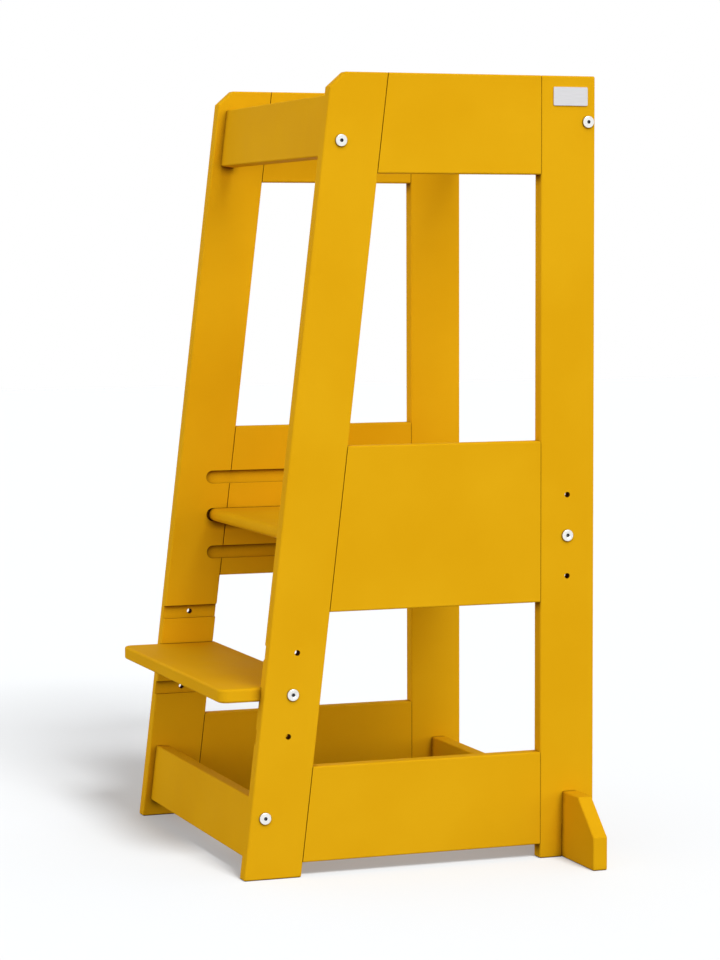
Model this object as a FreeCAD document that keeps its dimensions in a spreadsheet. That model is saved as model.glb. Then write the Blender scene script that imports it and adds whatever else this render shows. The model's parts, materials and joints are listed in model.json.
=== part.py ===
import FreeCAD, Part
import math
import os
import re
import Sketcher

# A toddler kitchen helper stool, in millimetres.
# +X is the right-hand side for someone about to climb in, +Y the rear (the worktop side),
# +Z up. The origin is on the floor, at the middle of the stool's overall width and depth.

SIZES = {
    # side frames
    "width": 440,  # over the outer faces of the two side frames
    "height": 920,
    "board": 18,  # thickness of the frame boards
    "leg_width": 68.5,
    "lean": 6.8,  # degrees that the front legs lean back
    "frame_depth": 436,  # rear face to the front legs' front edge, at the floor
    "corner_drop": 17,  # cut-off top front corner of the front legs
    "corner_run": 17,
    "top_rail_height": 114.5,
    "panel_bottom": 305,
    "panel_height": 190,
    "bottom_rail_height": 110.5,
    "floor_gap": 17,  # under the bottom side rails
    "edge_round": 2,
    # cross rails between the front legs and between the rear legs
    "front_top_rail_drop": 22.7,  # along the leaning leg, from its top to the rail
    "front_top_rail_setback": 11,
    "cross_rail_height": 71,
    "front_bottom_rail_up": 22,
    "front_bottom_rail_setback": 8,
    "front_bottom_rail_height": 70,
    "top_bolt_inset": 18,  # bolt axis above the lower edge of a top cross rail
    "bottom_bolt_inset": 18,  # bolt axis below the upper edge of the front bottom rail
    # rear foot board
    "foot_length": 618,
    "foot_height": 79,
    "foot_end_height": 39,
    "foot_slope_run": 44,
    "foot_setback": 22,  # behind the board, to the rear face of the rear legs
    "foot_play": 0.5,  # each side of the board in the leg's slot
    # standing platform and step
    "shelf": 16,  # thickness of both
    "groove_depth": 5,
    "groove_play": 0.3,  # above and below the board
    "groove_end_play": 0.5,  # between a board's end and the groove's floor
    "notch_pitch": 48,  # from one height setting to the next
    "platform_height": 383,  # middle of the board above the floor
    "platform_setback": 46,  # platform's nose behind the front legs' front edge
    "platform_inset": 2,  # platform's rear edge in front of the rear face
    "nose_gap": 4,  # free length of groove ahead of the platform's nose
    "nose_round": 7.5,
    "step_height": 212,
    "step_depth": 120,
    "step_nose": 83,  # bolt axis to the front edge
    "step_corner": 12,
    "step_round": 3,
    # bolts and barrel nuts
    "bolt_size": 6,
    "bolt_hole": 6.6,
    "bolt_length": 50,
    "bolt_tip": 0.8,
    "head_size": 14,
    "head_thickness": 2.4,
    "head_round": 1.2,
    "socket_size": 4,  # across the flats
    "socket_depth": 1.8,
    "nut_reach": 45,  # nut's axis from the outer face of the side frame
    "nut_size": 10,
    "nut_length": 12,
    "nut_play": 0.15,
    "thread_play": 0.05,
    "slot_width": 1.2,
    "slot_depth": 1,
    "hole_spare": 1,  # a blind hole is deeper than what it holds by this
    # dowels
    "dowel_size": 8,
    "dowel_play": 0.1,
    "dowel_length": 40,  # side frames, half in each board
    "dowel_inset": 25,  # from a side rail's edge
    "pin_length": 30,  # cross rails
    "pin_in_leg": 10,
    # blank badge plate on the right rear leg
    "badge_length": 43,
    "badge_height": 21.5,
    "badge_thickness": 1,
    "badge_corner": 1.5,
    "badge_from_rear": 10,
    "badge_from_top": 13,
}

# Places that several pieces share, as formulas of the sizes above.
# Heights are above the floor; "behind" is measured from the rear face, negative to the front.
LEAN = "(lean * 1deg)"
REAR = (
    f"((frame_depth - step_height * tan({LEAN}) - leg_width / 2 / cos({LEAN}) + step_nose) / 2)"
)
HALF_WIDTH = "(width / 2)"
INNER = "(width / 2 - board)"
SHELF_END = "(width / 2 - board + groove_depth - groove_end_play)"
GROOVE_HALF = "(shelf / 2 + groove_play)"
PLATFORM_NOSE = f"(-frame_depth + platform_height * tan({LEAN}) + platform_setback)"
FRONT_TOP_RAIL_UP = f"(height / cos({LEAN}) - front_top_rail_drop - cross_rail_height)"
REAR_LEG_MIDDLE = "(-leg_width / 2)"
FOOT_MIDDLE = "(-foot_setback - board / 2)"
NOTCHES = (-1, 0, 1)
RIGHT, LEFT = 1, -1
SIDES = {"right": RIGHT, "left": LEFT}

doc = FreeCAD.newDocument("kitchen_helper_stool")
sheet = doc.addObject("Spreadsheet::Sheet", "Sizes")
for row, (alias, value) in enumerate(SIZES.items(), start=1):
    sheet.set(f"A{row}", alias)
    sheet.set(f"B{row}", str(value))
    sheet.setAlias(f"B{row}", alias)
doc.recompute()

nodes = []


# ---------------------------------------------------------------- formulas


def bound(formula):
    """The formula with each size's name pointing at its cell in the sheet."""
    return re.sub(
        r"[a-z_]{3,}", lambda word: f"Sizes.{word[0]}" if word[0] in SIZES else word[0], formula
    )


def number(formula):
    """What the formula gives now."""
    result = sheet.evalExpression(bound(formula))
    return float(getattr(result, "Value", result))


def front_edge(height):
    """Front edge of the front legs at a height."""
    return f"(-frame_depth + ({height}) * tan({LEAN}))"


def front_leg_middle(height):
    """Centre line of the front legs at a height."""
    return f"({front_edge(height)} + leg_width / 2 / cos({LEAN}))"


def front_seam(height):
    """Rear edge of the front legs at a height, where the side rails butt."""
    return f"({front_edge(height)} + leg_width / cos({LEAN}))"


def notch_height(middle, notch):
    return f"({middle} + {notch} * notch_pitch)"


def on_lean(setback, along):
    """Behind and height of a point given by its depth behind the leaning front edge and its way up it."""
    behind = f"(-frame_depth + ({setback}) * cos({LEAN}) + ({along}) * sin({LEAN}))"
    height = f"(({along}) * cos({LEAN}) - ({setback}) * sin({LEAN}))"
    return behind, height


# ---------------------------------------------------------------- building blocks


def place(thing, side_x="0", behind="0", height="0", turn=None):
    """Puts a thing in the stool's frame. turn is an axis and an angle formula in degrees."""
    thing.Placement = FreeCAD.Placement()
    if turn:
        axis, angle = turn
        thing.Placement.Rotation = FreeCAD.Rotation(FreeCAD.Vector(*axis), number(angle))
        thing.setExpression("Placement.Rotation.Angle", bound(f"({angle}) * 1deg"))
    thing.setExpression("Placement.Base.x", bound(f"({side_x}) * 1mm"))
    thing.setExpression("Placement.Base.y", bound(f"({REAR} + {behind}) * 1mm"))
    thing.setExpression("Placement.Base.z", bound(f"({height}) * 1mm"))


def new_body(label):
    body = doc.addObject("PartDesign::Body", label)
    body.Label = label
    return body


def new_sketch(body, plane, offset="0"):
    """A sketch on one of the body's own origin planes, offset along the plane's normal."""
    sketch = body.newObject("Sketcher::SketchObject", f"{body.Label}_sketch")
    support = next(part for part in body.Origin.OriginFeatures if part.Role == plane)
    sketch.AttachmentSupport = (support, [""])
    sketch.MapMode = "FlatFace"
    sketch.AttachmentOffset = FreeCAD.Placement(
        FreeCAD.Vector(0, 0, number(offset)), FreeCAD.Rotation()
    )
    if offset != "0":
        sketch.setExpression("AttachmentOffset.Base.z", bound(f"({offset}) * 1mm"))
    return sketch


def pin_point(sketch, line, end, across, up):
    """Ties one end of a sketch line to its two formulas."""
    for kind, formula in (("DistanceX", across), ("DistanceY", up)):
        index = sketch.addConstraint(
            Sketcher.Constraint(kind, -1, 1, line, end, number(formula))
        )
        sketch.setExpression(f"Constraints[{index}]", bound(formula))


def polygon(sketch, corners):
    """A closed outline through corners, each an across and an up formula."""
    points = [FreeCAD.Vector(number(across), number(up), 0) for across, up in corners]
    first = len(sketch.Geometry)
    count = len(points)
    for index in range(count):
        following = points[(index + 1) % count]
        sketch.addGeometry(Part.LineSegment(points[index], following), False)
    for index in range(count):
        following = first + (index + 1) % count
        sketch.addConstraint(Sketcher.Constraint("Coincident", first + index, 2, following, 1))
    for index, (across, up) in enumerate(corners):
        pin_point(sketch, first + index, 1, across, up)


def rectangle(sketch, left, right, bottom, top):
    polygon(sketch, [(left, bottom), (right, bottom), (right, top), (left, top)])


def circle(sketch, across, up, radius):
    centre = FreeCAD.Vector(number(across), number(up), 0)
    normal = FreeCAD.Vector(0, 0, 1)
    index = sketch.addGeometry(Part.Circle(centre, normal, number(radius)), False)
    pin_point(sketch, index, 3, across, up)
    size = sketch.addConstraint(Sketcher.Constraint("Radius", index, number(radius)))
    sketch.setExpression(f"Constraints[{size}]", bound(radius))


def round_ended_slot(sketch, round_centre, open_end, middle, half):
    """A slot with a half-round end at round_centre and a square end at open_end."""
    low, high = f"({middle} - {half})", f"({middle} + {half})"
    corners = [(round_centre, low), (open_end, low), (open_end, high), (round_centre, high)]
    points = [FreeCAD.Vector(number(across), number(up), 0) for across, up in corners]
    first = len(sketch.Geometry)
    for start, end in zip(points, points[1:]):
        sketch.addGeometry(Part.LineSegment(start, end), False)
    centre = FreeCAD.Vector(number(round_centre), number(middle), 0)
    full = Part.Circle(centre, FreeCAD.Vector(0, 0, 1), number(half))
    arc = sketch.addGeometry(Part.ArcOfCircle(full, math.pi / 2, 3 * math.pi / 2), False)
    for line in (first, first + 1):
        sketch.addConstraint(Sketcher.Constraint("Coincident", line, 2, line + 1, 1))
    sketch.addConstraint(Sketcher.Constraint("Coincident", first + 2, 2, arc, 1))
    sketch.addConstraint(Sketcher.Constraint("Coincident", arc, 2, first, 1))
    for index, (across, up) in enumerate(corners[:3]):
        pin_point(sketch, first + index, 1, across, up)
    pin_point(sketch, first + 2, 2, *corners[3])
    index = sketch.addConstraint(
        Sketcher.Constraint("DistanceX", -1, 1, arc, 3, number(round_centre))
    )
    sketch.setExpression(f"Constraints[{index}]", bound(round_centre))


def pad(body, sketch, length, midplane=False):
    feature = body.newObject("PartDesign::Pad", f"{body.Label}_pad")
    feature.Profile = sketch
    feature.Midplane = midplane
    feature.Length = number(length)
    feature.setExpression("Length", bound(length))
    doc.recompute()
    return feature


def pocket(body, sketch, depth=None, forward=False):
    """Cuts the sketch's outline, right through or to a depth, against the normal or forward."""
    before = body.Shape.Volume
    feature = body.newObject("PartDesign::Pocket", f"{body.Label}_pocket")
    feature.Profile = sketch
    if depth is None:
        feature.Type = "ThroughAll"
        feature.Midplane = True
    else:
        feature.Reversed = forward
        feature.Length = number(depth)
        feature.setExpression("Length", bound(depth))
    doc.recompute()
    if body.Shape.Volume > before - 0.01:
        raise ValueError(f"{feature.Label} cuts nothing")
    return feature


def fillet(body, radius, wanted):
    """Rounds the edges for which wanted(edge) is true."""
    tip = body.Tip
    names = [f"Edge{n}" for n, edge in enumerate(tip.Shape.Edges, start=1) if wanted(edge)]
    feature = body.newObject("PartDesign::Fillet", f"{body.Label}_round")
    feature.Base = (tip, names)
    feature.Radius = number(radius)
    feature.setExpression("Radius", bound(radius))
    doc.recompute()
    return feature


def runs_along(axis):
    """A test for straight edges along an axis."""
    direction = FreeCAD.Vector(*axis)

    def test(edge):
        if edge.Curve.TypeId != "Part::GeomLine":
            return False
        return abs(abs(edge.Curve.Direction.dot(direction)) - 1) < 1e-6

    return test


def every_edge(edge):
    return True


def drill(label, radius, length, side_x, behind, height, turn):
    """A cylinder to cut away, from the given point along +Z after the turn."""
    tool = doc.addObject("Part::Cylinder", label)
    tool.setExpression("Radius", bound(radius))
    tool.setExpression("Height", bound(length))
    place(tool, side_x, behind, height, turn)
    return tool


def drilled(label, board, tools):
    """The node that is left of a board when its holes are made."""
    tool = tools[0]
    if len(tools) > 1:
        tool = doc.addObject("Part::MultiFuse", f"{label}_holes")
        tool.Shapes = tools
    piece = doc.addObject("Part::Cut", label)
    piece.Base = board
    piece.Tool = tool
    piece.Label = label
    doc.recompute()
    if piece.Shape.Volume > board.Shape.Volume - 0.01:
        raise ValueError(f"{label} has no holes")
    nodes.append(piece)
    return piece


def group(label, pieces):
    """One node for like pieces that lie apart."""
    node = doc.addObject("Part::Compound", label)
    node.Links = pieces
    node.Label = label
    nodes.append(node)


# ---------------------------------------------------------------- places of joints

ALONG_X = ((0, 1, 0), "90")
ALONG_REAR = ((1, 0, 0), "-90")
INTO_FRAME = ((1, 0, 0), "-(90 + lean)")  # square to the leaning legs' edges
OUT_OF_FRAME = ((1, 0, 0), "(90 - lean)")  # the other way, as the leaning rails' nuts go in
WITH_LEAN = ((1, 0, 0), "-lean")
BOLT_RADIUS = "(bolt_size / 2)"
HOLE_RADIUS = "(bolt_hole / 2)"
DOWEL_RADIUS = "(dowel_size / 2)"
DOWEL_HOLE_RADIUS = "(dowel_size / 2 + dowel_play)"
NUT_HOLE_RADIUS = "(nut_size / 2 + nut_play)"

step_heights = [notch_height("step_height", notch) for notch in NOTCHES]
platform_heights = [notch_height("platform_height", notch) for notch in NOTCHES]
FRONT_TOP_ALONG = f"({FRONT_TOP_RAIL_UP} + top_bolt_inset)"
FRONT_TOP_DEPTH = "(front_top_rail_setback + board / 2)"
FRONT_BOTTOM_ALONG = "(front_bottom_rail_up + front_bottom_rail_height - bottom_bolt_inset)"
FRONT_BOTTOM_DEPTH = "(front_bottom_rail_setback + board / 2)"

# Each bolted joint: behind and height of the bolt's axis.
BOLTS = {
    "front_top_rail": on_lean(FRONT_TOP_DEPTH, FRONT_TOP_ALONG),
    "front_bottom_rail": on_lean(FRONT_BOTTOM_DEPTH, FRONT_BOTTOM_ALONG),
    "rear_top_rail": ("(-board / 2)", "(height - cross_rail_height + top_bolt_inset)"),
    "platform": (REAR_LEG_MIDDLE, "platform_height"),
    "step": (front_leg_middle("step_height"), "step_height"),
}

# Each cross rail's dowel sits as far from its other edge as the bolt from its own.
RAIL_DOWELS = {
    "front_top_rail": on_lean(
        FRONT_TOP_DEPTH, f"({FRONT_TOP_RAIL_UP} + cross_rail_height - top_bolt_inset)"
    ),
    "front_bottom_rail": on_lean(
        FRONT_BOTTOM_DEPTH, "(front_bottom_rail_up + bottom_bolt_inset)"
    ),
    "rear_top_rail": ("(-board / 2)", "(height - top_bolt_inset)"),
}

# Heights of the dowels in the butt joints of the side frames.
SIDE_RAILS = {
    "top_rail": ("(height - top_rail_height)", "height"),
    "middle_panel": ("panel_bottom", "(panel_bottom + panel_height)"),
    "bottom_rail": ("floor_gap", "(floor_gap + bottom_rail_height)"),
}
RAIL_NAMES = {
    "top_rail": "top_side_rail",
    "middle_panel": "middle_side_panel",
    "bottom_rail": "bottom_side_rail",
}


def dowel_heights(rail):
    low, high = SIDE_RAILS[rail]
    if rail == "middle_panel":
        return [
            notch_height("platform_height", -0.5),
            notch_height("platform_height", 0.5),
            f"({high} - dowel_inset)",
        ]
    return [f"({low} + dowel_inset)", f"({high} - dowel_inset)"]


def frame_dowel(label, side, height, at_front, radius=DOWEL_RADIUS, spare="0"):
    """The cylinder of a side frame's dowel, half in each board, or of its hole."""
    half = f"(dowel_length / 2 + {spare})"
    length = f"(2 * {half})"
    side_x = f"({side} * (width / 2 - board / 2))"
    if not at_front:
        return drill(label, radius, length, side_x, f"(-leg_width - {half})", height, ALONG_REAR)
    behind = f"({front_seam(height)} - {half} * cos({LEAN}))"
    lifted = f"({height} + {half} * sin({LEAN}))"
    return drill(label, radius, length, side_x, behind, lifted, INTO_FRAME)


def frame_dowel_holes(label, side, rail, at_front):
    return [
        frame_dowel(
            f"{label}_dowel_hole", side, height, at_front, DOWEL_HOLE_RADIUS, "hole_spare"
        )
        for height in dowel_heights(rail)
    ]


def bolt_hole(label, side, behind, height):
    """A clearance hole from the outer face in to just past the bolt's tip."""
    length = "(bolt_length + hole_spare)"
    side_x = f"({HALF_WIDTH} - {length})" if side == RIGHT else f"(-{HALF_WIDTH})"
    return drill(f"{label}_bolt_hole", HOLE_RADIUS, length, side_x, behind, height, ALONG_X)


def rail_dowel(label, side, rail, radius=DOWEL_RADIUS, spare="0"):
    """The cylinder of the dowel between a cross rail's end and the leg, or of its hole."""
    behind, height = RAIL_DOWELS[rail]
    length = f"(pin_length + 2 * {spare})"
    outer = f"({INNER} + pin_in_leg + {spare})"
    side_x = f"(-{outer})" if side == LEFT else f"({outer} - {length})"
    return drill(label, radius, length, side_x, behind, height, ALONG_X)


def rail_dowel_hole(label, side, rail):
    return rail_dowel(f"{label}_rail_dowel_hole", side, rail, DOWEL_HOLE_RADIUS, "hole_spare")


# ---------------------------------------------------------------- side frames


def side_board(label, side, corners):
    """A board of a side frame: corners are behind and height formulas."""
    body = new_body(f"{label}_board")
    sketch = new_sketch(body, "YZ_Plane")
    polygon(sketch, corners)
    pad(body, sketch, "board")
    place(body, INNER if side == RIGHT else f"(-{HALF_WIDTH})")
    return body


def inner_sketch(body, side):
    """A sketch on the board's face that looks into the stool."""
    return new_sketch(body, "YZ_Plane", "0" if side == RIGHT else "board")


def cut_platform_grooves(body, side):
    """The three platform grooves: round in front, open at the rear of the stool."""
    sketch = inner_sketch(body, side)
    for height in platform_heights:
        centre = f"({PLATFORM_NOSE} - nose_gap + {GROOVE_HALF})"
        round_ended_slot(sketch, centre, "leg_width", height, GROOVE_HALF)
    pocket(body, sketch, "groove_depth", forward=side == RIGHT)


def cut_step_grooves(body, side):
    """The three step grooves, open at both edges of the front leg."""
    sketch = inner_sketch(body, side)
    for height in step_heights:
        low, high = f"({height} - {GROOVE_HALF})", f"({height} + {GROOVE_HALF})"
        front = f"({front_edge(height)} - leg_width)"
        back = f"({front_seam(height)} + leg_width)"
        rectangle(sketch, front, back, low, high)
    pocket(body, sketch, "groove_depth", forward=side == RIGHT)


def front_leg(name, side):
    label = f"front_leg_{name}"
    cut_height = "(height - corner_drop)"
    corners = [
        (front_edge("0"), "0"),
        (front_seam("0"), "0"),
        (front_seam("height"), "height"),
        (f"({front_edge('height')} + corner_run)", "height"),
        (front_edge(cut_height), cut_height),
    ]
    body = side_board(label, side, corners)
    fillet(body, "edge_round", every_edge)
    cut_platform_grooves(body, side)
    cut_step_grooves(body, side)
    tools = [bolt_hole(label, side, *BOLTS[rail]) for rail in ("front_top_rail", "front_bottom_rail")]
    tools += [bolt_hole(label, side, front_leg_middle(z), z) for z in step_heights]
    tools += [rail_dowel_hole(label, side, rail) for rail in ("front_top_rail", "front_bottom_rail")]
    for rail in SIDE_RAILS:
        tools += frame_dowel_holes(label, side, rail, at_front=True)
    drilled(label, body, tools)


def rear_leg(name, side):
    label = f"rear_leg_{name}"
    corners = [("-leg_width", "0"), ("0", "0"), ("0", "height"), ("-leg_width", "height")]
    body = side_board(label, side, corners)
    fillet(body, "edge_round", every_edge)
    cut_platform_grooves(body, side)
    slot = inner_sketch(body, side)
    half = "(board / 2 + foot_play)"
    rectangle(
        slot, f"({FOOT_MIDDLE} - {half})", f"({FOOT_MIDDLE} + {half})", "-board", "foot_height / 2"
    )
    pocket(body, slot)
    tools = [bolt_hole(label, side, *BOLTS["rear_top_rail"])]
    tools += [bolt_hole(label, side, REAR_LEG_MIDDLE, z) for z in platform_heights]
    tools.append(rail_dowel_hole(label, side, "rear_top_rail"))
    for rail in SIDE_RAILS:
        tools += frame_dowel_holes(label, side, rail, at_front=False)
    drilled(label, body, tools)


def side_rail(name, side, rail):
    """A rail or panel between the legs, its front end cut to the leaning leg."""
    label = f"{RAIL_NAMES[rail]}_{name}"
    low, high = SIDE_RAILS[rail]
    corners = [
        (front_seam(low), low),
        ("-leg_width", low),
        ("-leg_width", high),
        (front_seam(high), high),
    ]
    body = side_board(label, side, corners)
    fillet(body, "edge_round", runs_along((0, 1, 0)))
    if rail == "middle_panel":
        cut_platform_grooves(body, side)
    tools = frame_dowel_holes(label, side, rail, True) + frame_dowel_holes(label, side, rail, False)
    drilled(label, body, tools)


def frame_dowels(name, side, rail):
    label = f"{rail}_dowels_{name}"
    pieces = [
        frame_dowel(f"{label}_piece", side, height, at_front)
        for at_front in (True, False)
        for height in dowel_heights(rail)
    ]
    group(label, pieces)


# ---------------------------------------------------------------- bolts and nuts


def bolt(label, side, behind, height):
    """A flat-headed furniture bolt with a hexagon socket, its axis along X."""
    body = new_body(label)
    profile = new_sketch(body, "XY_Plane")
    tip = f"({BOLT_RADIUS} - bolt_tip)"
    polygon(
        profile,
        [
            ("-bolt_length", "0"),
            ("head_thickness", "0"),
            ("head_thickness", "head_size / 2"),
            ("0", "head_size / 2"),
            ("0", BOLT_RADIUS),
            ("(bolt_tip - bolt_length)", BOLT_RADIUS),
            ("-bolt_length", tip),
        ],
    )
    turned = body.newObject("PartDesign::Revolution", f"{label}_turned")
    turned.Profile = profile
    turned.ReferenceAxis = (profile, ["H_Axis"])
    turned.Angle = 360
    doc.recompute()
    face_x = number("head_thickness")
    head_radius = number("head_size / 2")

    def rim(edge):
        if edge.Curve.TypeId != "Part::GeomCircle":
            return False
        on_face = abs(edge.Curve.Center.x - face_x) < 1e-6
        return on_face and abs(edge.Curve.Radius - head_radius) < 1e-6

    fillet(body, "head_round", rim)
    socket = new_sketch(body, "YZ_Plane", "head_thickness")
    reach = "(socket_size / 2 / cos(30 * 1deg))"
    polygon(
        socket,
        [(f"({reach} * cos({60 * n} * 1deg))", f"({reach} * sin({60 * n} * 1deg))") for n in range(6)],
    )
    pocket(body, socket, "socket_depth")
    place(body, f"({side} * {HALF_WIDTH})", behind, height, ((0, 0, 1), "0" if side == RIGHT else "180"))
    return body


def barrel_nut(label, side, behind, height, turn):
    """A cross dowel: a short steel cylinder with the bolt's thread across it."""
    body = new_body(label)
    blank = new_sketch(body, "XY_Plane", "-nut_length / 2")
    circle(blank, "0", "0", "nut_size / 2")
    pad(body, blank, "nut_length")
    thread = new_sketch(body, "YZ_Plane")
    circle(thread, "0", "0", f"({BOLT_RADIUS} + thread_play)")
    pocket(body, thread)
    slot = new_sketch(body, "XY_Plane", "-nut_length / 2")
    rectangle(slot, "-nut_size", "nut_size", "-slot_width / 2", "slot_width / 2")
    pocket(body, slot, "slot_depth", forward=True)
    place(body, f"({side} * ({HALF_WIDTH} - nut_reach))", behind, height, turn)
    return body


def nut_hole(label, side, rail, thickness, turn, step_back):
    """The blind hole that a barrel nut is pushed into, from the board's hidden face.

    step_back gives the way from the bolt's axis to that face, as behind and height formulas.
    """
    behind, height = BOLTS[rail]
    side_x = f"({side} * ({HALF_WIDTH} - nut_reach))"
    depth = f"({thickness} / 2 + nut_length / 2 + hole_spare / 2)"
    start = (f"({behind} + {step_back[0]})", f"({height} + {step_back[1]})")
    return drill(f"{label}_nut_hole", NUT_HOLE_RADIUS, depth, side_x, *start, turn)


# ---------------------------------------------------------------- cross rails

LEAN_BACK_STEP = (f"(board / 2 * cos({LEAN}))", f"(-board / 2 * sin({LEAN}))")


def cross_rail(label, depth, setback, tall, up, turn, nut_turn, step_back):
    """A rail between the legs. Its setback and up are measured from depth, after the turn."""
    body = new_body(f"{label}_board")
    sketch = new_sketch(body, "YZ_Plane")
    rectangle(sketch, setback, f"({setback} + board)", up, f"({up} + {tall})")
    pad(body, sketch, f"2 * {INNER}", midplane=True)
    fillet(body, "edge_round", runs_along((1, 0, 0)))
    place(body, "0", depth, "0", turn)
    tools = []
    for side in SIDES.values():
        tools.append(bolt_hole(label, side, *BOLTS[label]))
        tools.append(nut_hole(label, side, label, "board", nut_turn, step_back))
        tools.append(rail_dowel_hole(label, side, label))
    drilled(label, body, tools)


def fasten(rail, turn, separate):
    """The bolts and barrel nuts of one cross board, and a rail's dowels."""
    bolts = [bolt(f"{rail}_bolt_{name}", side, *BOLTS[rail]) for name, side in SIDES.items()]
    if separate:
        nodes.extend(bolts)
    else:
        group(f"{rail}_bolts", bolts)
    nuts = [
        barrel_nut(f"{rail}_nut_{name}", side, *BOLTS[rail], turn) for name, side in SIDES.items()
    ]
    group(f"{rail}_barrel_nuts", nuts)
    if rail in RAIL_DOWELS:
        dowels = [rail_dowel(f"{rail}_dowel_{name}", side, rail) for name, side in SIDES.items()]
        group(f"{rail}_dowels", dowels)


# ---------------------------------------------------------------- foot board, platform, step


def rear_foot_board():
    """The cross board whose ends are the anti-tip feet, notched from above over both rear legs."""
    body = new_body("rear_foot_board")
    sketch = new_sketch(body, "XZ_Plane")
    end, shoulder = "(foot_length / 2)", "(foot_length / 2 - foot_slope_run)"
    polygon(
        sketch,
        [
            (f"(-{end})", "0"),
            (end, "0"),
            (end, "foot_end_height"),
            (shoulder, "foot_height"),
            (f"(-{shoulder})", "foot_height"),
            (f"(-{end})", "foot_end_height"),
        ],
    )
    pad(body, sketch, "board", midplane=True)
    fillet(body, "edge_round", every_edge)
    notches = new_sketch(body, "XZ_Plane")
    for side in SIDES.values():
        near = f"({INNER} - foot_play / 2)"
        far = f"({HALF_WIDTH} + foot_play / 2)"
        across = (near, far) if side == RIGHT else (f"(-{far})", f"(-{near})")
        rectangle(notches, *across, "foot_height / 2", "(foot_height + board)")
    pocket(body, notches)
    place(body, "0", FOOT_MIDDLE)
    nodes.append(body)


def shelf_holes(label):
    """Edge holes for the two bolts and blind holes underneath for their barrel nuts."""
    tools = []
    for side in SIDES.values():
        tools.append(bolt_hole(label, side, *BOLTS[label]))
        tools.append(nut_hole(label, side, label, "shelf", None, ("0", "(-shelf / 2)")))
    return tools


def shelf_body(label, front, rear):
    body = new_body(f"{label}_board")
    sketch = new_sketch(body, "XY_Plane")
    rectangle(sketch, f"(-{SHELF_END})", SHELF_END, front, rear)
    pad(body, sketch, "shelf", midplane=True)
    return body


def platform():
    body = shelf_body("platform", PLATFORM_NOSE, "-platform_inset")
    nose = number(PLATFORM_NOSE)
    along = runs_along((1, 0, 0))
    fillet(body, "nose_round", lambda e: along(e) and abs(e.CenterOfMass.y - nose) < 1e-3)
    fillet(body, "edge_round", lambda e: along(e) and e.CenterOfMass.y > number("-leg_width"))
    place(body, "0", "0", "platform_height")
    drilled("platform", body, shelf_holes("platform"))


def step():
    middle = front_leg_middle("step_height")
    front = f"({middle} - step_nose)"
    rear = f"({front} + step_depth)"
    body = shelf_body("step", front, rear)
    nose, back = number(front), number(rear)
    upright = runs_along((0, 0, 1))
    fillet(body, "step_corner", lambda e: upright(e) and abs(e.CenterOfMass.y - nose) < 1e-3)
    half = number("shelf / 2")

    def rim(edge):
        return abs(abs(edge.CenterOfMass.z) - half) < 1e-3 and edge.CenterOfMass.y < back - 1e-3

    fillet(body, "step_round", rim)
    place(body, "0", "0", "step_height")
    drilled("step", body, shelf_holes("step"))


def badge_plate():
    """The plate on the right rear leg, left blank."""
    body = new_body("badge_plate")
    sketch = new_sketch(body, "YZ_Plane")
    top = "(height - badge_from_top)"
    front = "(-badge_from_rear - badge_length)"
    rectangle(sketch, front, "-badge_from_rear", f"({top} - badge_height)", top)
    pad(body, sketch, "badge_thickness")
    fillet(body, "badge_corner", runs_along((1, 0, 0)))
    place(body, HALF_WIDTH)
    nodes.append(body)


# ---------------------------------------------------------------- the stool

for name, side in SIDES.items():
    front_leg(name, side)
    rear_leg(name, side)
    for rail in SIDE_RAILS:
        side_rail(name, side, rail)
        frame_dowels(name, side, rail)

cross_rail(
    "front_top_rail",
    "(-frame_depth)",
    "front_top_rail_setback",
    "cross_rail_height",
    FRONT_TOP_RAIL_UP,
    WITH_LEAN,
    OUT_OF_FRAME,
    LEAN_BACK_STEP,
)
cross_rail(
    "front_bottom_rail",
    "(-frame_depth)",
    "front_bottom_rail_setback",
    "front_bottom_rail_height",
    "front_bottom_rail_up",
    WITH_LEAN,
    OUT_OF_FRAME,
    LEAN_BACK_STEP,
)
cross_rail(
    "rear_top_rail",
    "(-board)",
    "0",
    "cross_rail_height",
    "(height - cross_rail_height)",
    None,
    ALONG_REAR,
    ("(-board / 2)", "0"),
)
rear_foot_board()
platform()
step()
badge_plate()

fasten("front_top_rail", OUT_OF_FRAME, separate=False)
fasten("front_bottom_rail", OUT_OF_FRAME, separate=False)
fasten("rear_top_rail", ALONG_REAR, separate=False)
fasten("platform", None, separate=True)
fasten("step", None, separate=True)

doc.recompute()

for thing in doc.Objects:
    if "Invalid" in thing.State or "Error" in thing.State:
        raise ValueError(f"{thing.Label} did not build: {thing.State}")
for node in nodes:
    if node.Shape.isNull() or not node.Shape.isValid():
        raise ValueError(f"{node.Label} has no valid shape")

os.makedirs("parts", exist_ok=True)
for node in nodes:
    node.Shape.exportStep(f"parts/{node.Label}.step")
print(f"{len(nodes)} nodes, {sum(len(node.Shape.Solids) for node in nodes)} solids")
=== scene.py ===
import json
import math

import bmesh
import bpy
from mathutils import Matrix, Vector

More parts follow.
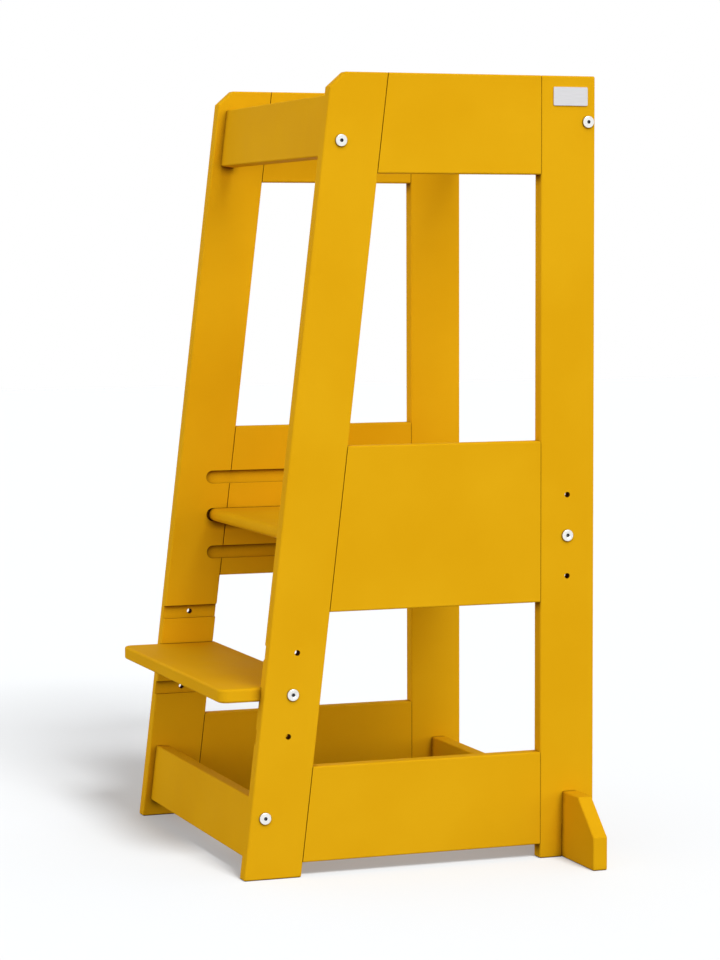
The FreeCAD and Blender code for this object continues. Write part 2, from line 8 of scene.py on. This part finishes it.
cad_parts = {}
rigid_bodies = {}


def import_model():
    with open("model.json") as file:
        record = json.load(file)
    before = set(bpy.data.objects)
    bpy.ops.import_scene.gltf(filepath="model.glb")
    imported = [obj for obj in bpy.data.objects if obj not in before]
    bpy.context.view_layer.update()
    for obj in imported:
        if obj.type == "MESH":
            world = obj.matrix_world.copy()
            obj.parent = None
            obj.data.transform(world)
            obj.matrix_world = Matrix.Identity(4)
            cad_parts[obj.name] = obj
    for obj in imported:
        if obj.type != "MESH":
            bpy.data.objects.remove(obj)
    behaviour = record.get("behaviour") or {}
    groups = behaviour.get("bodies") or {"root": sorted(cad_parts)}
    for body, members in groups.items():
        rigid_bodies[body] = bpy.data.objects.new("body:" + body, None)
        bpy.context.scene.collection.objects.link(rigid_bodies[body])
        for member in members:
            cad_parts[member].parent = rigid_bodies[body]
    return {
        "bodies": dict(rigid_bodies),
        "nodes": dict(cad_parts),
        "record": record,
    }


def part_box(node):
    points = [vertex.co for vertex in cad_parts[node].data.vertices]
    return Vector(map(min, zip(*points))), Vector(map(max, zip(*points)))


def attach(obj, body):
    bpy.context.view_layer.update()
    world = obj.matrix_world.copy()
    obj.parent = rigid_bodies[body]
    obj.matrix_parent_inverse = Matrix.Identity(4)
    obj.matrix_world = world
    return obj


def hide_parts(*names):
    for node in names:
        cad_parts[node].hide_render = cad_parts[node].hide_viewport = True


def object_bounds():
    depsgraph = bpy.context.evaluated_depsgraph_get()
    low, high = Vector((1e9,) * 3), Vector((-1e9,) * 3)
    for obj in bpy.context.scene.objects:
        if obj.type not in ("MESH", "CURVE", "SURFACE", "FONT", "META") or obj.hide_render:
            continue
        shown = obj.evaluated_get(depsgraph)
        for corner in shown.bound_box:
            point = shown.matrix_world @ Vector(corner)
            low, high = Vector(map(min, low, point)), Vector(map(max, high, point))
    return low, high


# The toddler kitchen helper stool: satin yellow paint, nickel-plated bolts and a blank plate.
# Metres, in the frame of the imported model: +X right, +Y rear, +Z up, origin on the floor.

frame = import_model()
nodes = frame["nodes"]
cad_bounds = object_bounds()

STOOL_LOW, STOOL_HIGH = (Vector(corner) for corner in cad_bounds)
STOOL_MIDDLE = (STOOL_LOW + STOOL_HIGH) / 2
SLOTS = {part["node"]: part["material_slot"] for part in frame["record"]["subparts"]}

# ---------------------------------------------------------------- sizes of the studio

# The photograph's viewpoint, found by fitting the stool's corners.
CAMERA_AT = Vector((3.36199, -1.21183, 0.71188))
CAMERA_YAW = math.radians(69.9355)  # turned left from looking along +Y
CAMERA_PITCH = math.radians(-4.3774)
CAMERA_ROLL = math.radians(-0.169)
CAMERA_LENS = 109.836  # mm, for the sensor below
CAMERA_SENSOR = 36  # mm, along the picture's long side

# What shines on the stool, where 1 is white. The two heights are sines of an angle.
WALL_LIGHT = 1.88
WALL_END = 0.1
CEILING_LIGHT = 0.45
CEILING_START = 0.6
ROOM_TINT = (1.0, 0.95, 0.93)

# The lamps. A side is degrees round from +X towards the rear, and up.
LAMP_DISTANCE = 3
KEY_SIDE = (10, 43)
KEY_POWER = 1.22
KEY_SOFTNESS = 25
KEY_TINT = (0.95, 1.0, 1.0)
SHADOW_SIDE = (5, 45)  # a second light that only the floor receives, for the stool's shadow
SHADOW_POWER = 4.0
SHADOW_SOFTNESS = 18
WHITE = (1.0, 1.0, 1.0)

FLOOR_REACH = 12.0
FLOOR_BOUNCE = 0.155  # the floor's grey for the light that it throws back
FLOOR_SEEN = (0.414, 0.431, 0.446)  # and its colour as it is seen, white where nothing shades it
FLOOR_LIFT = 0.25  # how white the floor still looks in the deepest shadow

# ---------------------------------------------------------------- sizes of the finishes

# Colours as they look, in sRGB.
PAINT_WARM = (0.894, 0.668, 0.062)
PAINT_LIGHT = (0.910, 0.690, 0.078)
# painted shade, dark brown, in seams, grooves and under lips
SEAM_PAINTED_SHADE = (0.40, 0.21, 0.02)
# painted shade, nearly black red-brown, deep in the drilled holes
HOLE_PAINTED_SHADE = (0.22, 0.03, 0.01)
NICKEL = (0.95, 0.95, 0.94)
ZINC = (0.74, 0.75, 0.75)
# painted shade, near black, in the bolts' hex sockets and the steel's recesses
SOCKET_PAINTED_SHADE = (0.12, 0.12, 0.15)
PLATE_GREY = (0.84, 0.845, 0.86)
BEECH = (0.80, 0.66, 0.46)
BEECH_DARK = (0.68, 0.52, 0.34)

NOISE_SPAN = (0.3, 0.7)  # nearly all of a noise's values lie between these
OPENNESS_SAMPLES = 8

# Paint.
MOTTLE_SIZE = 0.12
MOTTLE_SPAN = (0.35, 0.65)
GRAIN_SIZE = 0.006
GRAIN_SQUEEZE = 0.04  # along a board, which draws its grain out
GRAIN_SHOWS = 0.10
GRAIN_DEPTH = 0.00005
PEEL_SIZE = 0.0022
PEEL_DEPTH = 0.00002
SHEEN_PATCH = 0.03
PAINT_ROUGHNESS = (0.58, 0.66)
PAINT_GLOSS = 0.005
# Painted shade in seams and grooves, stronger beneath what is above.
SEAM_SHADE_REACH = 0.014
SEAM_SHADE_OPENNESS = (0.3, 0.85)  # fully dark, and not darkened any more
SEAM_SHADE_UPWARD = 0.75
# Painted shade deep in the drilled holes.
HOLE_SHADE_REACH = 0.009
HOLE_SHADE_OPENNESS = (0.12, 0.3)

# Plated steel.
FILM_SIZE = 0.004
FILM_SPAN = (0.35, 0.7)
FILM_DARKNESS = 0.8
FILM_ROUGHER = 0.12
NICKEL_FILM = 0.3  # how much of the film shows
NICKEL_ROUGHNESS = 0.24
ZINC_FILM = 0.9
ZINC_ROUGHNESS = 0.38
# Painted shade in hex sockets and recesses, and round a head's foot.
SOCKET_SHADE_REACH = 0.004
SOCKET_SHADE_OPENNESS = (0.6, 0.95)
TURNING_SQUEEZE = (0.05, 1, 1)
TURNING_SIZE = 0.0004
TURNING_DEPTH = 0.000006

# Plate.
BRUSHED_SQUEEZE = (1, 0.03, 1)
BRUSHED_SIZE = 0.0005
BRUSHED_DEPTH = 0.000004
BRUSHED_LIGHTER = 1.04
PLATE_ROUGHNESS = (0.32, 0.42)

# Bare beech.
BEECH_SQUEEZE = (0.06, 1, 1)
BEECH_GRAIN = 0.0015
BEECH_DEPTH = 0.00006
BEECH_ROUGHNESS = (0.6, 0.75)

# The thread of the platform's and the step's M6 bolts, below a short plain neck.
THREAD_PITCH = 0.001
THREAD_DEPTH = 0.00061
THREAD_STEPS = 6  # points from one crest to the next
THREAD_SIDES = 32  # points round the axis
HEAD_THICKNESS = 0.0024
PLAIN_NECK = 0.006
SHARP_EDGE = math.radians(30)
WELD = 0.000001  # points of one mesh that are nearer than this are the same point

# The Mix node's sockets for colours, which share their names with its other sockets.
MIX_FACTOR = 0
MIX_FIRST = 6
MIX_SECOND = 7
MIX_COLOUR = 2


def linear(colour):
    """An sRGB colour as the shader wants it."""
    channels = [c / 12.92 if c <= 0.04045 else ((c + 0.055) / 1.055) ** 2.4 for c in colour]
    return (*channels, 1.0)


# ---------------------------------------------------------------- materials


class Shader:
    """A material's node tree, with short ways to add and join nodes."""

    def __init__(self, name):
        self.material = bpy.data.materials.new(name)
        self.material.use_nodes = True
        self.tree = self.material.node_tree
        self.tree.nodes.clear()
        self.output = self.add("ShaderNodeOutputMaterial")
        self.surface = self.add("ShaderNodeBsdfPrincipled")
        self.join(self.surface, "BSDF", self.output, "Surface")

    def add(self, kind, **inputs):
        node = self.tree.nodes.new(kind)
        for key, value in inputs.items():
            node.inputs[key].default_value = value
        return node

    def join(self, source, output, target, entry):
        self.tree.links.new(source.outputs[output], target.inputs[entry])

    def coordinates(self, squeeze=(1, 1, 1)):
        """Object coordinates in metres. What lies along a squeezed axis is drawn out."""
        place = self.add("ShaderNodeTexCoord")
        mapping = self.add("ShaderNodeMapping", Scale=squeeze)
        self.join(place, "Object", mapping, "Vector")
        return mapping

    def noise(self, mapping, size, detail, roughness=0.5):
        """Noise whose features are about size metres wide."""
        noise = self.add("ShaderNodeTexNoise", Scale=1 / size, Detail=detail, Roughness=roughness)
        self.join(mapping, "Vector", noise, "Vector")
        return noise

    def spread(self, source, output, span, onto=(0, 1)):
        """The source's values over span, carried over onto another stretch."""
        node = self.add("ShaderNodeMapRange")
        for key, value in zip(("From Min", "From Max", "To Min", "To Max"), (*span, *onto)):
            node.inputs[key].default_value = value
        self.join(source, output, node, "Value")
        return node

    def blend(self, share, first, second):
        """A colour from first to second with a spread's share. first may be another blend."""
        mix = self.add("ShaderNodeMix")
        mix.data_type = "RGBA"
        self.join(share, "Result", mix, MIX_FACTOR)
        if isinstance(first, tuple):
            mix.inputs[MIX_FIRST].default_value = first
        else:
            self.join(first, MIX_COLOUR, mix, MIX_FIRST)
        mix.inputs[MIX_SECOND].default_value = second
        return mix

    def painted_shade_share(self, reach, openness, upward=0.0):
        """The share of painted shade: 1 where the surface is closely shut in by what is within
        reach, 0 where it is open.

        openness is how open it still is in these two cases, from 0 to 1. upward makes what is
        above count for more than what is below.
        """
        around = self.add("ShaderNodeAmbientOcclusion", Distance=reach)
        around.samples = OPENNESS_SAMPLES
        if upward:
            facing = self.add("ShaderNodeNewGeometry")
            raised = self.add("ShaderNodeVectorMath")
            raised.inputs[1].default_value = (0, 0, upward)
            self.join(facing, "Normal", raised, 0)
            self.join(raised, "Vector", around, "Normal")
        return self.spread(around, "AO", openness, onto=(1, 0))

    def bump(self, source, depth, previous=None):
        """Bump from a noise, depth in metres between its 0 and 1."""
        bump = self.add("ShaderNodeBump", Strength=1.0, Distance=depth)
        self.join(source, "Fac", bump, "Height")
        if previous:
            self.join(previous, "Normal", bump, "Normal")
        return bump

    def finish(self, colour, relief, roughness):
        """Gives the surface its colour, bump and roughness, and returns the material."""
        self.join(colour, MIX_COLOUR, self.surface, "Base Color")
        self.join(relief, "Normal", self.surface, "Normal")
        self.join(roughness, "Result", self.surface, "Roughness")
        return self.material


def paint(name, grain_axis):
    """Satin lacquer sprayed on wood: a faint mottle, a fine orange peel and a hint of the grain,
    with painted shade in joints, grooves and drilled recesses.
    """
    shader = Shader(name)
    plain = shader.coordinates()
    squeeze = [1.0, 1.0, 1.0]
    squeeze[grain_axis] = GRAIN_SQUEEZE
    grain = shader.noise(shader.coordinates(squeeze), GRAIN_SIZE, detail=4, roughness=0.6)

    mottle = shader.spread(shader.noise(plain, MOTTLE_SIZE, detail=3), "Fac", MOTTLE_SPAN)
    colour = shader.blend(mottle, linear(PAINT_WARM), linear(PAINT_LIGHT))
    streak = shader.spread(grain, "Fac", NOISE_SPAN, onto=(0, GRAIN_SHOWS))
    colour = shader.blend(streak, colour, linear(PAINT_WARM))
    # painted shade in seams, grooves and under lips, stronger beneath what is above
    painted_seam_shade = shader.painted_shade_share(SEAM_SHADE_REACH, SEAM_SHADE_OPENNESS, SEAM_SHADE_UPWARD)
    colour = shader.blend(painted_seam_shade, colour, linear(SEAM_PAINTED_SHADE))
    # painted shade deep in the drilled holes
    painted_hole_shade = shader.painted_shade_share(HOLE_SHADE_REACH, HOLE_SHADE_OPENNESS)
    colour = shader.blend(painted_hole_shade, colour, linear(HOLE_PAINTED_SHADE))

    peel = shader.bump(shader.noise(plain, PEEL_SIZE, detail=2), PEEL_DEPTH)
    relief = shader.bump(grain, GRAIN_DEPTH, peel)
    sheen = shader.noise(plain, SHEEN_PATCH, detail=2)
    roughness = shader.spread(sheen, "Fac", NOISE_SPAN, onto=PAINT_ROUGHNESS)
    shader.surface.inputs["Specular IOR Level"].default_value = PAINT_GLOSS
    return shader.finish(colour, relief, roughness)


def plated_steel(name, plating, film_shows, smoothest):
    """Plated steel with fine turning marks round the X axis, a duller film in patches and painted
    shade in hex recesses and round a head's foot.
    """
    shader = Shader(name)
    film = shader.noise(shader.coordinates(), FILM_SIZE, detail=3)
    patches = shader.spread(film, "Fac", FILM_SPAN, onto=(0, film_shows))
    dulled = tuple(FILM_DARKNESS * c for c in plating)
    colour = shader.blend(patches, linear(plating), linear(dulled))
    # painted shade in the hex socket and round the head's foot
    painted_socket_shade = shader.painted_shade_share(SOCKET_SHADE_REACH, SOCKET_SHADE_OPENNESS)
    colour = shader.blend(painted_socket_shade, colour, linear(SOCKET_PAINTED_SHADE))

    turning = shader.noise(shader.coordinates(TURNING_SQUEEZE), TURNING_SIZE, detail=2)
    relief = shader.bump(turning, TURNING_DEPTH)
    roughness = shader.spread(film, "Fac", NOISE_SPAN, onto=(smoothest, smoothest + FILM_ROUGHER))
    shader.surface.inputs["Metallic"].default_value = 1.0
    return shader.finish(colour, relief, roughness)


def blank_plate(name):
    """A light grey plate with a faint brushed grain along it and nothing printed on it."""
    shader = Shader(name)
    brushed = shader.noise(shader.coordinates(BRUSHED_SQUEEZE), BRUSHED_SIZE, detail=3)
    lighter = tuple(BRUSHED_LIGHTER * c for c in PLATE_GREY)
    strokes = shader.spread(brushed, "Fac", NOISE_SPAN)
    colour = shader.blend(strokes, linear(PLATE_GREY), linear(lighter))
    relief = shader.bump(brushed, BRUSHED_DEPTH)
    roughness = shader.spread(brushed, "Fac", NOISE_SPAN, onto=PLATE_ROUGHNESS)
    return shader.finish(colour, relief, roughness)


def bare_beech(name):
    """Unfinished beech: long grain along X with short dark flecks."""
    shader = Shader(name)
    grain = shader.noise(shader.coordinates(BEECH_SQUEEZE), BEECH_GRAIN, detail=5, roughness=0.6)
    flecks = shader.spread(grain, "Fac", NOISE_SPAN)
    colour = shader.blend(flecks, linear(BEECH_DARK), linear(BEECH))
    relief = shader.bump(grain, BEECH_DEPTH)
    roughness = shader.spread(grain, "Fac", NOISE_SPAN, onto=BEECH_ROUGHNESS)
    return shader.finish(colour, relief, roughness)


def longest_axis(name):
    """0, 1 or 2: the axis that a board's grain runs along."""
    low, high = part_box(name)
    return max(range(3), key=lambda axis: high[axis] - low[axis])


def dress():
    """Gives every node its finish, by its material slot."""
    paints = [paint(f"paint_grain_{axis}", number) for number, axis in enumerate("xyz")]
    finishes = {
        "steel_head": plated_steel("nickel_plated_steel", NICKEL, NICKEL_FILM, NICKEL_ROUGHNESS),
        "nut_steel": plated_steel("zinc_plated_steel", ZINC, ZINC_FILM, ZINC_ROUGHNESS),
        "plate": blank_plate("blank_plate"),
        "bare_wood": bare_beech("bare_beech"),
    }
    for name, node in nodes.items():
        slot = SLOTS[name]
        finish = paints[longest_axis(name)] if slot == "painted_wood" else finishes[slot]
        node.data.materials.clear()
        node.data.materials.append(finish)


# ---------------------------------------------------------------- threads


def thread_radius(along, around, length, full_radius):
    """The thread's radius at a distance below the neck and so many turns round the axis."""
    phase = (along / THREAD_PITCH - around) % 1.0
    below_crest = abs(2 * phase - 1)
    run_in = min(1.0, along / THREAD_PITCH)
    chamfer = max(0.0, THREAD_DEPTH - (length - along))
    return full_radius - max(THREAD_DEPTH * below_crest * run_in, chamfer)


def head_and_neck(name, neck_end):
    """A bolt's mesh down to the end of its plain neck, where it is left open."""
    shape = bmesh.new()
    shape.from_mesh(nodes[name].data)
    bmesh.ops.remove_doubles(shape, verts=shape.verts, dist=WELD)
    whole = [*shape.verts, *shape.edges, *shape.faces]
    towards_tip = (-math.copysign(1, neck_end), 0, 0)
    bmesh.ops.bisect_plane(
        shape, geom=whole, plane_co=(neck_end, 0, 0), plane_no=towards_tip, clear_outer=True
    )
    return shape


def add_thread(shape, length, towards_tip):
    """Closes a bolt that is open at its neck with a threaded shank of that length along X."""
    neck_edges = [edge for edge in shape.edges if edge.is_boundary]
    neck = [point for point in shape.verts if point.is_boundary]
    middle = sum((point.co for point in neck), Vector()) / len(neck)
    full_radius = (neck[0].co - middle).length
    count = round(length / THREAD_PITCH * THREAD_STEPS)
    rings = []
    for along in (length * step / count for step in range(1, count + 1)):
        ring = []
        for around in (n / THREAD_SIDES for n in range(THREAD_SIDES)):
            reach = thread_radius(along, around, length, full_radius)
            angle = around * math.tau
            across = (reach * math.cos(angle), reach * math.sin(angle))
            ring.append(shape.verts.new(middle + Vector((towards_tip * along, *across))))
        rings.append(ring)
    for ring, following in zip(rings, rings[1:]):
        for n in range(THREAD_SIDES):
            shape.faces.new((ring[n - 1], ring[n], following[n], following[n - 1]))
    shape.faces.new(rings[-1])
    first_edges = [shape.edges.get((rings[0][n - 1], rings[0][n])) for n in range(THREAD_SIDES)]
    bmesh.ops.bridge_loops(shape, edges=neck_edges + first_edges)
    bmesh.ops.recalc_face_normals(shape, faces=shape.faces)


def threaded_bolt(name):
    """A bolt with a real thread on its shank, which stands for the plain one."""
    low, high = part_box(name)
    side = math.copysign(1, low.x)
    nearest, farthest = sorted((abs(low.x), abs(high.x)))
    neck_end = farthest - HEAD_THICKNESS - PLAIN_NECK
    shape = head_and_neck(name, side * neck_end)
    add_thread(shape, neck_end - nearest, -side)

    mesh = bpy.data.meshes.new(f"threaded_{name}")
    shape.to_mesh(mesh)
    shape.free()
    mesh.shade_smooth()
    mesh.set_sharp_from_angle(angle=SHARP_EDGE)
    mesh.materials.append(nodes[name].data.materials[0])
    bolt = bpy.data.objects.new(f"threaded_{name}", mesh)
    bpy.context.scene.collection.objects.link(bolt)
    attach(bolt, name)
    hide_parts(name)


# ---------------------------------------------------------------- studio


def from_side(azimuth, elevation):
    """The direction to a light: azimuth from +X towards +Y, both in degrees."""
    around, above = math.radians(azimuth), math.radians(elevation)
    flat = math.cos(above)
    return Vector((flat * math.cos(around), flat * math.sin(around), math.sin(above)))


def sun_lamp(name, direction, power, softness, tint):
    """A distant softbox: direction points to it, softness is how many degrees wide it looks."""
    lamp = bpy.data.objects.new(name, bpy.data.lights.new(name, "SUN"))
    bpy.context.scene.collection.objects.link(lamp)
    lamp.data.energy = power
    lamp.data.color = tint
    lamp.data.angle = math.radians(softness)
    lamp.location = STOOL_MIDDLE + LAMP_DISTANCE * direction
    lamp.rotation_euler = (-direction).to_track_quat("-Z", "Y").to_euler()
    return lamp


def light_only(lamp, thing):
    """Keeps a lamp's light to one thing. The others still cast their shadows in it."""
    receivers = bpy.data.collections.new(f"{lamp.name}_receivers")
    receivers.objects.link(thing)
    lamp.light_linking.receiver_collection = receivers


def seen_directly(tree):
    """1 for camera, glossy and transmission rays, 0 for the light that the object receives."""
    rays = tree.nodes.new("ShaderNodeLightPath")
    total = rays.outputs["Is Camera Ray"]
    for kind in ("Is Glossy Ray", "Is Transmission Ray"):
        either = tree.nodes.new("ShaderNodeMath")
        either.operation = "MAXIMUM"
        tree.links.new(total, either.inputs[0])
        tree.links.new(rays.outputs[kind], either.inputs[1])
        total = either.outputs["Value"]
    return total


def white_surroundings():
    """White where they are seen. What shines on the stool is bright walls and a dim ceiling."""
    world = bpy.data.worlds.new("studio")
    bpy.context.scene.world = world
    world.use_nodes = True
    tree = world.node_tree
    background = tree.nodes["Background"]
    direction = tree.nodes.new("ShaderNodeTexCoord")
    upward = tree.nodes.new("ShaderNodeSeparateXYZ")
    tree.links.new(direction.outputs["Generated"], upward.inputs[0])

    light = tree.nodes.new("ShaderNodeMapRange")
    light.interpolation_type = "SMOOTHSTEP"
    light.inputs["From Min"].default_value = WALL_END
    light.inputs["From Max"].default_value = CEILING_START
    light.inputs["To Min"].default_value = WALL_LIGHT
    light.inputs["To Max"].default_value = CEILING_LIGHT
    tree.links.new(upward.outputs["Z"], light.inputs["Value"])

    seen = seen_directly(tree)
    strength = tree.nodes.new("ShaderNodeMapRange")
    strength.inputs["To Max"].default_value = 1.0
    tree.links.new(light.outputs["Result"], strength.inputs["To Min"])
    tree.links.new(seen, strength.inputs["Value"])
    tree.links.new(strength.outputs["Result"], background.inputs["Strength"])

    tint = tree.nodes.new("ShaderNodeMix")
    tint.data_type = "RGBA"
    tint.inputs[MIX_FIRST].default_value = (*ROOM_TINT, 1)
    tint.inputs[MIX_SECOND].default_value = (*WHITE, 1)
    tree.links.new(seen, tint.inputs[MIX_FACTOR])
    tree.links.new(tint.outputs[MIX_COLOUR], background.inputs["Color"])


def floor_paper():
    """Matt grey paper for the light that it throws back, and white with soft shadows as seen."""
    shader = Shader("floor_paper")
    shader.surface.inputs["Base Color"].default_value = (*[FLOOR_BOUNCE] * 3, 1)
    shader.surface.inputs["Roughness"].default_value = 1.0
    shader.surface.inputs["Specular IOR Level"].default_value = 0.0
    paper = shader.add("ShaderNodeBsdfDiffuse", Color=(*FLOOR_SEEN, 1))
    glow = shader.add("ShaderNodeEmission", Strength=FLOOR_LIFT)
    lifted = shader.add("ShaderNodeAddShader")
    shader.join(paper, "BSDF", lifted, 0)
    shader.join(glow, "Emission", lifted, 1)
    either = shader.add("ShaderNodeMixShader")
    shader.tree.links.new(seen_directly(shader.tree), either.inputs[0])
    shader.join(shader.surface, "BSDF", either, 1)
    shader.join(lifted, "Shader", either, 2)
    shader.join(either, "Shader", shader.output, "Surface")
    return shader.material


def pale_floor():
    """A wide floor at the height that the stool stands on."""
    mesh = bpy.data.meshes.new("floor")
    sides = ((-1, -1), (1, -1), (1, 1), (-1, 1))
    corners = [(FLOOR_REACH * x, FLOOR_REACH * y, 0) for x, y in sides]
    mesh.from_pydata(corners, [], [(0, 1, 2, 3)])
    mesh.materials.append(floor_paper())
    floor = bpy.data.objects.new("floor", mesh)
    bpy.context.scene.collection.objects.link(floor)
    return floor


def camera():
    """The camera at the photograph's viewpoint."""
    sine, cosine = math.sin(CAMERA_YAW), math.cos(CAMERA_YAW)
    flat = math.cos(CAMERA_PITCH)
    ahead = Vector((-sine * flat, cosine * flat, math.sin(CAMERA_PITCH)))
    level = Vector((cosine, sine, 0))
    upright = level.cross(ahead)
    right = level * math.cos(CAMERA_ROLL) + upright * math.sin(CAMERA_ROLL)
    up = upright * math.cos(CAMERA_ROLL) - level * math.sin(CAMERA_ROLL)
    turn = Matrix((right, up, -ahead)).transposed().to_4x4()
    data = bpy.data.cameras.new("photo_camera")
    data.sensor_width = CAMERA_SENSOR
    data.lens = CAMERA_LENS
    thing = bpy.data.objects.new("photo_camera", data)
    bpy.context.scene.collection.objects.link(thing)
    thing.matrix_world = Matrix.Translation(CAMERA_AT) @ turn
    bpy.context.scene.camera = thing


# ---------------------------------------------------------------- the scene

dress()
for name in nodes:
    if name in frame["bodies"]:
        threaded_bolt(name)

camera()
white_surroundings()
floor = pale_floor()
sun_lamp("key", from_side(*KEY_SIDE), KEY_POWER, KEY_SOFTNESS, KEY_TINT)
shadow = sun_lamp("floor_light", from_side(*SHADOW_SIDE), SHADOW_POWER, SHADOW_SOFTNESS, WHITE)
light_only(shadow, floor)
bpy.context.scene.view_settings.view_transform = "Standard"
